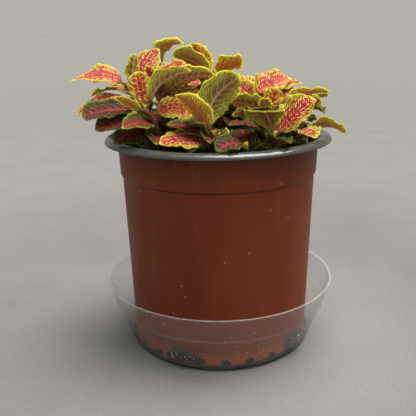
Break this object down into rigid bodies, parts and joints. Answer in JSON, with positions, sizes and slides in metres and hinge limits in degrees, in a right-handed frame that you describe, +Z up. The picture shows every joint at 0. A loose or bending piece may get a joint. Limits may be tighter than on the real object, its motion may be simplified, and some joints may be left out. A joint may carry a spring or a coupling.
{
  "type": "potted nerve plant",
  "caption": "Nerve plant with pink and lime veined leaves in a reddish brown nursery pot that stands in a clear saucer.",
  "frame": {"origin": "centre of the saucer's flat underside, on the surface it stands on", "axes": "+Z up along the pot; -Y towards the side seen most"},
  "size_m": [0.1402, 0.1295, 0.1626],
  "materials": {
    "clear_plastic": "gloss",
    "pot_plastic": "satin",
    "soil": "matt",
    "washed_soil": "matt",
    "foliage": "satin"
  },
  "bodies": {
    "root": {"saucer": "clear_plastic", "pot": "pot_plastic", "soil": "soil", "washed_out_soil_left": "washed_soil", "washed_out_soil_right": "washed_soil", "shoot_01": "foliage", "shoot_02": "foliage", "shoot_03": "foliage", "shoot_04": "foliage", "shoot_05": "foliage", "shoot_06": "foliage", "shoot_07": "foliage", "shoot_08": "foliage", "shoot_09": "foliage", "shoot_10": "foliage", "shoot_11": "foliage", "shoot_12": "foliage", "shoot_13": "foliage", "shoot_14": "foliage", "shoot_15": "foliage", "shoot_16": "foliage", "shoot_17": "foliage", "shoot_18": "foliage", "shoot_19": "foliage", "shoot_20": "foliage"}
  },
  "joints": []
}
